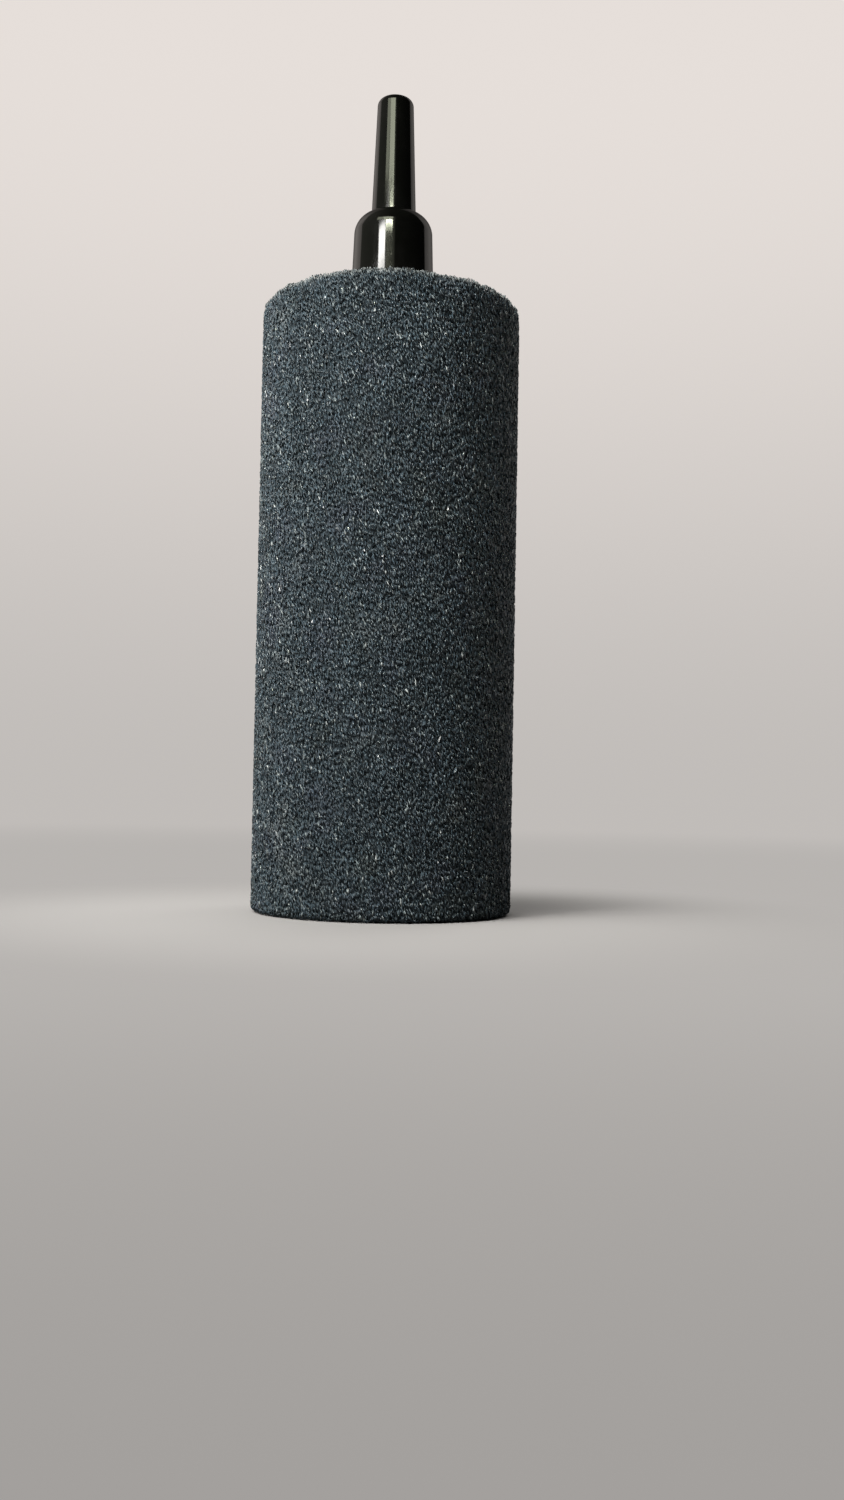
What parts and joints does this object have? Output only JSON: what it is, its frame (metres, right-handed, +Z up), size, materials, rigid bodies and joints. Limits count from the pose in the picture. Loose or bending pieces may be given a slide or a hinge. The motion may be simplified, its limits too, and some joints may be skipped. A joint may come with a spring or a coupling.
{
  "type": "air stone",
  "caption": "Cylinder of bonded mineral grit that breaks an air stream into fine bubbles, with a tapered black plastic nozzle for the air line.",
  "frame": {"origin": "centre of the stone's flat foot, the end away from the nozzle", "axes": "+Z up the common axis from the foot through the nozzle to its tip; the part is turned about Z, so +X and +Y are free, and the picture looks along +Y"},
  "size_m": [0.03, 0.03, 0.0954],
  "materials": {
    "bonded_grit": "coarse porous bonded grit, dark blue-grey, with bright glassy grains and dusty patches",
    "nozzle_plastic": "glossy black injection moulding",
    "adhesive": "hardened clear-grey epoxy, hidden in the socket"
  },
  "bodies": {
    "root": {"porous_stone": "bonded_grit", "air_nozzle": "nozzle_plastic", "glue_seal": "adhesive"}
  },
  "joints": []
}
